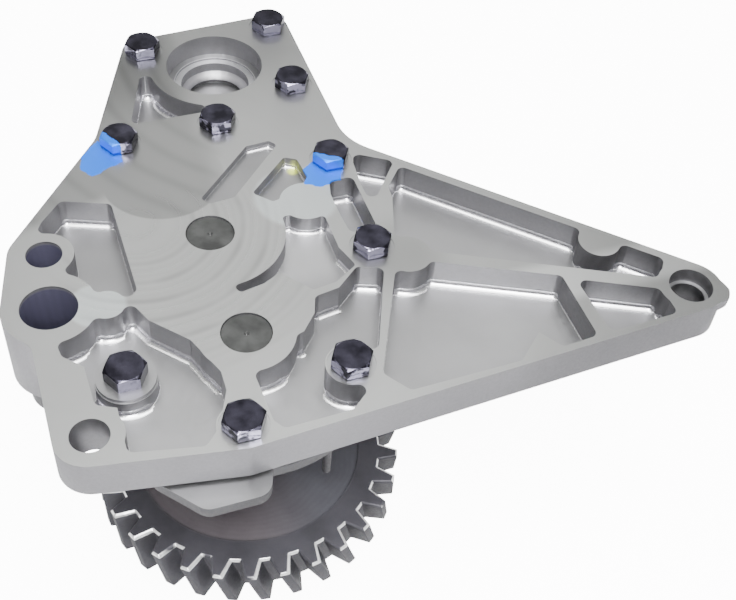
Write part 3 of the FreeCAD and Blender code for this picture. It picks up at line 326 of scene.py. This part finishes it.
def cast_metal(name, lift=0.0, rough_low=0.32, rough_high=0.42, wall_dull=1.35):
    """Aluminium casting: a milled joint face with the cutter's sweeps, cast walls in painted shade and milled bay
    floors.
    """
    tree = Tree(name)
    place = tree.position()
    x, y, z = tree.axes(place)
    upward = tree.axes(tree.normal())[2]
    milled = tree.math("MULTIPLY", tree.span(z, -0.0004, -0.0002), tree.span(upward, 0.9, 0.98))
    floor_part = tree.span(upward, 0.55, 0.95)
    broad = tree.noise(place, 16.0, 2.0)
    fine = tree.noise(place, 900.0, 3.0, 0.6)
    marks, streaks, lay = cutter_marks(tree, place, x, y)
    patch = bright_patches(tree, x, y)

    value = tree.blend(milled, cast_tone(tree, place, x, y, z, broad, floor_part),
                       milled_tone(tree, x, y, broad, marks, patch))
    value = tree.math("ADD", value, lift)
    value = tree.math("MULTIPLY", value, tree.math("SUBTRACT", 1.0, painted_well_shade(tree, x, y, z)))
    colour = tree.mix(tree.math("MAXIMUM", milled, tree.math("MULTIPLY", floor_part, 0.6)),
                      grey(tree, value, CAST_TINT), grey(tree, value, MILLED_TINT))
    # Painted shade: a dark navy colour down the bores, which are also made less metallic and rougher
    bore_shades = [tree.span(distance(tree, x, y, MOUNTS[mount]), outer, inner) for mount, outer, inner in DARK_BORES]
    bore_shade = tree.math("MULTIPLY", tree.math("MAXIMUM", *bore_shades), tree.span(z, -0.0005, -0.002))
    colour = tree.mix(bore_shade, colour, BORE_SHADE_COLOUR)
    colour = tree.mix(tree.math("MULTIPLY", tree.math("MULTIPLY", patch, milled), 0.8), colour,
                      grey(tree, value, PATCH_TINT))
    # Painted glint: a yellow-green reflection painted at the inner groove's upper end
    painted_glint = tree.math("MULTIPLY", tree.span(distance(tree, x, y, GLINT_PLACE), 0.0030, 0.0012, smooth=True),
                      tree.span(z, -0.0002, -0.001))
    colour = tree.mix(painted_glint, colour, GLINT_COLOUR)
    blue = tree.math("MULTIPLY", paint_mask(tree, place, x, y, 0.0004), tree.span(z, -0.0009, -0.0005))
    colour = tree.mix(blue, colour, PAINT_BLUE)

    cast_rough = tree.span(fine, 0.3, 0.7, rough_low, rough_high)
    cast_rough = tree.math("MULTIPLY", cast_rough, tree.span(floor_part, 0.0, 1.0, wall_dull, 1.0))
    rough = tree.blend(milled, cast_rough, tree.span(streaks, -1.0, 1.0, 0.27, 0.34))
    rough = tree.blend(tree.math("MAXIMUM", blue, bore_shade), rough, 0.55)
    metallic = tree.math("MULTIPLY_ADD", blue, -0.3, 1.0)
    metallic = tree.math("MULTIPLY_ADD", bore_shade, -0.6, metallic)
    height = tree.blend(milled, fine, tree.math("MULTIPLY", lay, 0.3))
    normal = tree.bump(height, 0.10, 0.00010)
    return tree.finish(Base_Color=colour, Metallic=metallic, Roughness=rough, Normal=normal)


# The direction, on the face, of the plate's front, towards which the bolt heads' side facets get a painted highlight
FRONT = (-0.40, -0.92)


def black_metal(name, value, tint, rough, highlight_share=0.0, painted=False):
    """Blackened steel: a thin oxide with a slight violet cast, handling marks and a painted highlight, broken up by
    noise, on the side facets and chamfers that face the plate's front.
    """
    tree = Tree(name)
    place = tree.position()
    x, y, z = tree.axes(place)
    broad = tree.noise(place, 160.0, 3.0)
    fine = tree.noise(place, 1500.0, 3.0)
    shade = tree.span(broad, 0.35, 0.65, value * 0.55, value * 1.6)
    nx, ny, nz = tree.axes(tree.normal())
    # Painted highlight: side facets and chamfers facing the plate's front are made lighter, in noise patches
    lit_side = tree.math("MULTIPLY_ADD", nx, FRONT[0], tree.math("MULTIPLY", ny, FRONT[1]))
    patchy = tree.math("MULTIPLY_ADD", lit_side, 0.18, tree.noise(place, 130.0, 3.0, 0.6))
    highlight_patches = tree.math("MULTIPLY", tree.span(patchy, 0.61, 0.66), tree.span(nz, 0.97, 0.90, 0.0, highlight_share))
    colour = grey(tree, tree.math("MULTIPLY_ADD", highlight_patches, 0.40, shade), tint)
    roughness = tree.span(fine, 0.3, 0.7, rough * 0.8, rough * 1.25)
    metallic = 1.0
    if painted:
        blue = paint_mask(tree, place, x, y, 0.0005)
        # Painted shade: darker blue towards the foot of the head
        paint = tree.mix(tree.span(z, 0.0006, 0.0013), PAINT_CREASE_SHADE, PAINT_BLUE)
        colour = tree.mix(blue, colour, paint)
        metallic = tree.math("MULTIPLY_ADD", blue, -0.3, 1.0)
        roughness = tree.blend(blue, roughness, 0.5)
    normal = tree.bump(fine, 0.15, 0.00006)
    return tree.finish(Base_Color=colour, Metallic=metallic, Roughness=roughness, Normal=normal)


# The drive gear: where its turned disc ends, and where and how far under its top the painted highlight on the edges
# of its teeth lies
DISC_R, TOOTH_EDGE_R = (0.0432, 0.0405), (0.0486, 0.0490)
HIGHLIGHT_FROM, HIGHLIGHT_TO = 0.0013, 0.0010


def gear_steel():
    """Dark gear: a lighter turned disc inside the rim and a near-white painted highlight on the top edges of the
    teeth, on the flanks turned one way and in noise patches.
    """
    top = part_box("drive_gear")[1][2]
    tree = Tree("dark_gear")
    place = tree.position()
    x, y, z = tree.axes(place)
    nx, ny, nz = tree.axes(tree.normal())
    radius = distance(tree, x, y, (0.0, 0.0))
    broad = tree.noise(place, 60.0, 3.0)
    fine = tree.noise(place, 1100.0, 3.0)
    disc = tree.span(radius, *DISC_R, smooth=True)
    turned = rings(tree, radius, tree.math("SUBTRACT", broad, 0.5), 0.0021)
    disc_value = tree.math("MULTIPLY_ADD", turned, 0.003, tree.span(broad, 0.3, 0.7, 0.13, 0.17))
    rim_value = tree.math("MULTIPLY", tree.span(broad, 0.3, 0.7, 0.06, 0.095), tree.span(nz, 0.5, 0.9, 0.7, 1.0))
    web = tree.mix(tree.span(x, -0.012, 0.022, smooth=True), grey(tree, disc_value, (1.08, 0.96, 1.05)),
                   grey(tree, disc_value, (0.80, 0.80, 0.93)))
    colour = tree.mix(disc, grey(tree, rim_value, (1.0, 0.97, 1.14)), web)
    # Painted highlight: near-white colour on the teeth's top edges, on the flanks turned one way, in noise patches
    tooth_highlight = tree.math("MULTIPLY", tree.span(nz, 0.93, 0.85), tree.span(radius, *TOOTH_EDGE_R))
    tooth_highlight = tree.math("MULTIPLY", tooth_highlight, tree.span(z, top - HIGHLIGHT_FROM, top - HIGHLIGHT_TO))
    turning = tree.math("SUBTRACT", tree.math("MULTIPLY", x, ny), tree.math("MULTIPLY", y, nx))
    lit_flank = tree.span(tree.math("DIVIDE", turning, radius), -0.45, -0.25)
    highlight_patches = tree.span(tree.noise(place, 90.0, 2.0), 0.36, 0.44)
    tooth_highlight = tree.math("MULTIPLY", tooth_highlight, tree.math("MULTIPLY", highlight_patches, lit_flank))
    colour = tree.mix(tooth_highlight, colour, (0.97, 0.97, 0.97))
    rough = tree.blend(tooth_highlight, tree.span(fine, 0.3, 0.7, 0.42, 0.55), 0.3)
    normal = tree.bump(fine, 0.2, 0.00008)
    return tree.finish(Base_Color=colour, Metallic=tree.blend(tooth_highlight, 0.45, 0.6), Roughness=rough, Normal=normal)


def shaft_steel():
    """Ground steel with dull, mottled end faces."""
    tree = Tree("ground_steel")
    place = tree.position()
    z = tree.axes(place)[2]
    broad = tree.noise(place, 130.0, 3.0)
    fine = tree.noise(place, 1300.0, 3.0)
    end = tree.span(z, -0.0016, -0.0013)
    side = tree.span(broad, 0.3, 0.7, 0.38, 0.48)
    dull = tree.span(broad, 0.35, 0.65, 0.035, 0.075)
    colour = tree.mix(end, grey(tree, side, (0.99, 1.0, 1.0)), grey(tree, dull, (0.97, 1.0, 0.97)))
    rough = tree.blend(end, tree.span(fine, 0.3, 0.7, 0.25, 0.35), 0.6)
    normal = tree.bump(fine, 0.15, 0.00008)
    return tree.finish(Base_Color=colour, Metallic=tree.blend(end, 1.0, 0.5), Roughness=rough, Normal=normal)


VIOLET_BLACK = (1.0, 0.95, 1.30)
cast = cast_metal("cast_aluminium")
housing_cast = cast_metal("cast_housing", lift=-0.19)
# The fillets take the cast metal with its tone raised by 0.60 and lower roughness: a painted highlight along the
# bays' feet, over their real reflections
bright_fillet_metal = cast_metal("bay_fillet", lift=0.60, rough_low=0.24, rough_high=0.28, wall_dull=1.0)
bolt_metal = black_metal("black_bolts", 0.05, VIOLET_BLACK, 0.16, highlight_share=1.0, painted=True)
gear_metal = gear_steel()
steel = shaft_steel()
bronze = black_metal("bronze", 0.5, (1.0, 0.75, 0.45), 0.35)
plug_metal = black_metal("black_plug", 0.055, VIOLET_BLACK, 0.16, highlight_share=0.12)
nut_metal = black_metal("black_nut", 0.10, (1.0, 0.97, 1.08), 0.3, highlight_share=0.3)

by_slot = {"cast_aluminium": cast, "steel": steel, "black_steel": bolt_metal, "bronze": bronze,
           "soft_aluminium": cast}
by_node = {"drive_gear": gear_metal, "drive_gear_nut": nut_metal, "pump_housing": housing_cast,
           "relief_plug": plug_metal}
for row in record["subparts"]:
    materials = nodes[row["node"]].data.materials
    materials.clear()
    materials.append(by_node.get(row["node"], by_slot[row["material_slot"]]))


def placed(name, mesh, material):
    """A new object with this mesh and material."""
    piece = bpy.data.objects.new(name, mesh)
    bpy.context.collection.objects.link(piece)
    mesh.materials.append(material)
    return piece


# Fillets at the foot of the bays

SAME_LEVEL = 2e-5


def foot_edges(mesh, level):
    """Edges where a wall rises from the floor at this level, each with the floor on its left."""
    def key(index):
        x, y, z = mesh.vertices[index].co
        return round(x, 6), round(y, 6), round(z, 6)

    floor_edges, rising = set(), set()
    for face in mesh.polygons:
        corners = [key(index) for index in face.vertices]
        on_level = [abs(corner[2] - level) < SAME_LEVEL for corner in corners]
        pairs = list(zip(corners, corners[1:] + corners[:1]))
        if all(on_level):
            if face.normal.z > 0.9:
                floor_edges.update(pairs)
        elif max(corner[2] for corner in corners) > level + SAME_LEVEL:
            for start, end in pairs:
                if abs(start[2] - level) < SAME_LEVEL and abs(end[2] - level) < SAME_LEVEL:
                    rising.add((end, start))
    return {pair for pair in floor_edges if pair[::-1] not in floor_edges and pair in rising}


def chains(edges):
    """The edges joined end to end, as lists of points and whether each list closes."""
    following = dict(edges)
    starts = set(following) - set(following.values())
    runs = []
    while following:
        closed = not starts
        at = starts.pop() if starts else next(iter(sorted(following)))
        run = [at]
        while at in following:
            at = following.pop(at)
            run.append(at)
        runs.append((run, closed))
    return runs


OUTWARD_TURN, FAN_STEP, SHORTEST = -0.6, 0.3, 1e-9


def stations(run, closed, room):
    """Places along a wall's foot with the direction into the bay: fans at outward corners, exact along flats."""
    points = [np.array(point[:2]) for point in run]
    steps = [b - a for a, b in zip(points, points[1:])]
    lengths = [max(float(np.hypot(*step)), SHORTEST) for step in steps]
    normals = [np.array((-step[1], step[0])) / length for step, length in zip(steps, lengths)]
    found = []
    for index, (a, step, length, normal) in enumerate(zip(points, steps, lengths, normals)):
        before = normals[index - 1] if index or closed else normal
        turn = math.atan2(before[0] * normal[1] - before[1] * normal[0], float(before @ normal))
        if turn < OUTWARD_TURN:
            count = max(2, int(-turn / FAN_STEP))
            first = math.atan2(before[1], before[0])
            for number in range(count + 1):
                angle = first + turn * number / count
                found.append((a, np.array((math.cos(angle), math.sin(angle))), 1.0))
        else:
            middle = before + normal
            middle = middle / max(float(np.hypot(*middle)), SHORTEST)
            found.append((a, middle, 1.0 / max(math.cos(turn / 2), 0.5)))
        if length > 3 * room:
            along = step / length
            found.append((a + along * room, normal, 1.0))
            found.append((a + step - along * room, normal, 1.0))
    if not closed:
        found.append((points[-1], normals[-1], 1.0))
    return found


THIN_SHARE, THIN_UNTIL, THIN_FADE = 0.12, 0.42, 0.24


def fillet_share(into):
    """Full size under the walls that rise away from the plate's front, and thin elsewhere."""
    front = FRONT[0] * into[0] + FRONT[1] * into[1]
    share = min(max((front - THIN_UNTIL) / THIN_FADE, 0.0), 1.0)
    return THIN_SHARE + (1 - THIN_SHARE) * share * share * (3 - 2 * share)


CORNER_ROOM, FILLET_STEPS, ABOVE_FLOOR = 0.4 * MM, 6, 0.00001


def fillet_strip(name, level, radius):
    """A hollow quarter round along the foot of every wall that stands on the floor at this level."""
    mesh = nodes["pump_cover"].data
    built, faces, directions = [], [], []
    for run, closed in chains(foot_edges(mesh, level)):
        rows = []
        for at, into, stretch in stations(run, closed, CORNER_ROOM):
            row = []
            size = radius * fillet_share(into)
            for number in range(FILLET_STEPS + 1):
                angle = math.pi / 2 * number / FILLET_STEPS
                out = size * (1 - math.cos(angle)) * stretch
                rise = size * (1 - math.sin(angle))
                place = at + into * out
                row.append(len(built))
                built.append((place[0], place[1], level + rise + ABOVE_FLOOR))
                directions.append((into[0] * math.cos(angle), into[1] * math.cos(angle), math.sin(angle)))
            rows.append(row)
        pairs = list(zip(rows, rows[1:]))
        if closed:
            pairs.append((rows[-1], rows[0]))
        for left, right in pairs:
            for number in range(FILLET_STEPS):
                faces.append((left[number], right[number], right[number + 1], left[number + 1]))
    made = bpy.data.meshes.new(name)
    made.from_pydata(built, [], faces)
    for face in made.polygons:
        face.use_smooth = True
    made.normals_split_custom_set_from_vertices(directions)
    strip = placed(name, made, bright_fillet_metal)
    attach(strip, "casing")


fillet_strip("bay_fillets", -11.5 * MM, 2.2 * MM)
fillet_strip("centre_bay_fillets", -7.5 * MM, 1.5 * MM)
fillet_strip("outer_groove_fillets", -3.0 * MM, 1.2 * MM)
fillet_strip("inner_groove_fillets", -4.5 * MM, 1.4 * MM)


# The small flash left at the arm's tip: heights with the share of its reach there, and its outline in degrees

FLASH_LEVELS = ((-0.02 * MM, 0.94), (-0.4 * MM, 1.0), (-4.2 * MM, 0.94), (-5.6 * MM, 0.0))
FLASH_MIDDLE, FLASH_HALF_ANGLE, FLASH_STEPS = -33.0, 34.0, 24
FLASH_REACH, TIP_R, FLASH_DEPTH = 2.5 * MM, 11.8 * MM, 1.0 * MM
FLASH_SHOULDER, FLASH_POWER = 0.74, 1.25


def tip_flash():
    """A thin peak of metal that stands out of the rounded end just under the milled face."""
    centre = Vector(MOUNTS["arm_mount"][:2])
    work = bmesh.new()
    rows = []
    for z, share in FLASH_LEVELS:
        row = []
        for number in range(FLASH_STEPS + 1):
            turn = 2.0 * number / FLASH_STEPS - 1.0
            angle = math.radians(FLASH_MIDDLE + FLASH_HALF_ANGLE * turn)
            peak = min(1.0, (1 - abs(turn)) / FLASH_SHOULDER) ** FLASH_POWER
            radius = TIP_R + FLASH_REACH * share * peak
            row.append(work.verts.new((centre.x + radius * math.cos(angle), centre.y + radius * math.sin(angle), z)))
        rows.append(row)
    for upper, lower in zip(rows, rows[1:]):
        for number in range(FLASH_STEPS):
            work.faces.new((upper[number], lower[number], lower[number + 1], upper[number + 1]))
    for row, turned in ((rows[0], False), (rows[-1], True)):
        inner = []
        for outer in row:
            pull = (TIP_R - FLASH_DEPTH) / (outer.co.xy - centre).length
            at = centre + (outer.co.xy - centre) * pull
            inner.append(work.verts.new((at.x, at.y, outer.co.z)))
        for number in range(FLASH_STEPS):
            face = (row[number], row[number + 1], inner[number + 1], inner[number])
            work.faces.new(face[::-1] if turned else face)
    mesh = bpy.data.meshes.new("tip_flash")
    work.to_mesh(mesh)
    work.free()
    piece = placed("tip_flash", mesh, cast)
    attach(piece, "casing")


tip_flash()


# The relief valve's spring: wire radius, turns in all and closed at each end, and how finely it is drawn

WIRE_R = 0.75 * MM
COIL_TURNS, CLOSED_TURNS, PER_TURN, AROUND = 5.5, 0.8, 48, 12
GROUND_SHARE = 0.6


def relief_coil():
    """A round wire coil with closed, ground ends, carried on the valve's body."""
    low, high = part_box("relief_spring")
    axis_x, axis_y = (low[0] + high[0]) / 2, (low[1] + high[1]) / 2
    coil_r = (high[0] - low[0]) / 2 - WIRE_R
    first, last = low[2] + GROUND_SHARE * WIRE_R, high[2] - GROUND_SHARE * WIRE_R
    rows, built, faces = [], [], []
    for step in range(int(COIL_TURNS * PER_TURN) + 1):
        turn = step / PER_TURN
        share = min(max((turn - CLOSED_TURNS) / (COIL_TURNS - 2 * CLOSED_TURNS), 0.0), 1.0)
        z = first + (last - first) * share
        angle = 2 * math.pi * turn
        row = []
        for number in range(AROUND):
            side = 2 * math.pi * number / AROUND
            radius = coil_r + WIRE_R * math.cos(side)
            height = min(max(z + WIRE_R * math.sin(side), low[2]), high[2])
            row.append(len(built))
            built.append((axis_x + radius * math.cos(angle), axis_y + radius * math.sin(angle), height))
        rows.append(row)
    for before, after in zip(rows, rows[1:]):
        for number in range(AROUND):
            following = (number + 1) % AROUND
            faces.append((before[number], after[number], after[following], before[following]))
    faces.append(tuple(rows[0]))
    faces.append(tuple(reversed(rows[-1])))
    mesh = bpy.data.meshes.new("relief_coil")
    mesh.from_pydata(built, [], faces)
    for face in mesh.polygons:
        face.use_smooth = len(face.vertices) == 4
    piece = placed("relief_coil", mesh, steel)
    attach(piece, "valve")
    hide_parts("relief_spring")
    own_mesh(piece)


relief_coil()


# Edges of the machined pieces

EDGE_WIDTH, EDGE_SEGMENTS, SHARP_DEGREES = 0.3 * MM, 2, 30.0
WELD_WITHIN, FLAT_DEGREES = 2e-6, 0.6


def soften(name):
    """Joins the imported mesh's split edges and rounds its sharp ones."""
    node = nodes[name]
    weld = node.modifiers.new("weld", "WELD")
    weld.merge_threshold = WELD_WITHIN
    flat = node.modifiers.new("flat", "DECIMATE")
    flat.decimate_type = "DISSOLVE"
    flat.angle_limit = math.radians(FLAT_DEGREES)
    bevel = node.modifiers.new("edges", "BEVEL")
    bevel.width = EDGE_WIDTH
    bevel.segments = EDGE_SEGMENTS
    bevel.limit_method = "ANGLE"
    bevel.angle_limit = math.radians(SHARP_DEGREES)
    bevel.harden_normals = True


for softened in ("pump_cover", "pump_housing", "cover_bolts", "relief_plug", "drive_gear"):
    soften(softened)


# Stage: a bright sweep behind the part, as (radius, height), and a plain floor that gives the bounced light

SWEEP = ((3.0, 0.0), (6.0, 0.0), (7.2, 0.15), (8.2, 0.6), (9.0, 1.5), (9.4, 3.0), (9.5, 8.0))
SIDES = 96
SWEEP_GLOW = 11.0
BELOW_PART, BOUNCE_HALF = 0.0005, 3

sweep_points = [(0.0, 0.0, 0.0)]
sweep_faces = [(0, 1 + side, 1 + (side + 1) % SIDES) for side in range(SIDES)]
for ring, (out, climb) in enumerate(SWEEP):
    for side in range(SIDES):
        turn = 2 * math.pi * side / SIDES
        sweep_points.append((out * math.cos(turn), out * math.sin(turn), climb))
        if ring:
            a, b = 1 + (ring - 1) * SIDES + side, 1 + (ring - 1) * SIDES + (side + 1) % SIDES
            sweep_faces.append((a, a + SIDES, b + SIDES, b))
floor_mesh = bpy.data.meshes.new("floor")
floor_mesh.from_pydata(sweep_points, [], sweep_faces)
floor_metal = Tree("floor").finish(Base_Color=(0.95, 0.95, 0.95), Roughness=0.9,
                                   Emission_Color=(1.0, 1.0, 1.0), Emission_Strength=SWEEP_GLOW)
floor = placed("floor", floor_mesh, floor_metal)
floor.location.z = cad_low.z - BELOW_PART
floor.visible_glossy = False
floor.visible_diffuse = False
floor.visible_shadow = False

bounce_mesh = bpy.data.meshes.new("bounce")
bounce_corners = [(BOUNCE_HALF * across, BOUNCE_HALF * along, 0)
                  for across, along in ((-1, -1), (1, -1), (1, 1), (-1, 1))]
bounce_mesh.from_pydata(bounce_corners, [], [(0, 1, 2, 3)])
bounce = placed("bounce", bounce_mesh, Tree("bounce").finish(Base_Color=(0.85, 0.85, 0.85), Roughness=0.9))
bounce.location.z = floor.location.z - BELOW_PART
bounce.visible_camera = False


# Light

WORLD_STRENGTH = 0.4
# Name, place, what it points at, width, height and power
PANELS = (
    ("overhead", (0.02, -0.06, 0.95), (0.03, 0.03, 0), 0.8, 0.8, 15.0),
    ("front", (-0.15, -0.68, 0.90), (0.03, 0.03, 0), 0.5, 0.5, 16.8),
    ("far", (0.35, 1.1, 1.2), (0.04, 0.05, 0), 1.2, 0.8, 2.1),
    ("behind", (0.45, 1.2, 0.12), (0.04, 0.05, -0.02), 1.2, 0.3, 7.0),
    ("beside", (1.3, -0.1, 0.10), (0.04, 0.05, -0.02), 1.0, 0.3, 4.0),
    ("other_side", (-1.2, 0.5, 0.10), (0.04, 0.05, -0.02), 1.0, 0.3, 4.0),
)

world = bpy.data.worlds.new("studio")
bpy.context.scene.world = world
world.use_nodes = True
background = world.node_tree.nodes["Background"]
background.inputs[0].default_value = (1.0, 1.0, 1.0, 1.0)
background.inputs[1].default_value = WORLD_STRENGTH

for title, stand, target, width, height, power in PANELS:
    data = bpy.data.lights.new(title, "AREA")
    data.shape = "RECTANGLE"
    data.size = width
    data.size_y = height
    data.energy = power
    lamp = bpy.data.objects.new(title, data)
    lamp.location = stand
    lamp.rotation_mode = "QUATERNION"
    lamp.rotation_quaternion = (Vector(target) - Vector(stand)).to_track_quat("-Z", "Y")
    bpy.context.collection.objects.link(lamp)


# Camera: its place, its level and upright directions before the roll, and its lens in mm

CAMERA_PLACE = (-0.0654, -0.2504, 0.305)
LEVEL, UPRIGHT = Vector((0.9166, -0.3998, 0.0)), Vector((0.2965, 0.6797, 0.6708))
ROLL = math.radians(5.6)
LENS, SENSOR_WIDTH = 57.01, 36.0

camera_data = bpy.data.cameras.new("camera")
camera_data.sensor_width = SENSOR_WIDTH
camera_data.lens = LENS
camera_data.clip_start = 0.01
camera_data.clip_end = 40.0
camera = bpy.data.objects.new("camera", camera_data)
bpy.context.collection.objects.link(camera)
bpy.context.scene.camera = camera
right = LEVEL * math.cos(ROLL) + UPRIGHT * math.sin(ROLL)
up = UPRIGHT * math.cos(ROLL) - LEVEL * math.sin(ROLL)
back = right.cross(up)
camera.matrix_world = Matrix((
    (right.x, up.x, back.x, CAMERA_PLACE[0]),
    (right.y, up.y, back.y, CAMERA_PLACE[1]),
    (right.z, up.z, back.z, CAMERA_PLACE[2]),
    (0, 0, 0, 1),
))
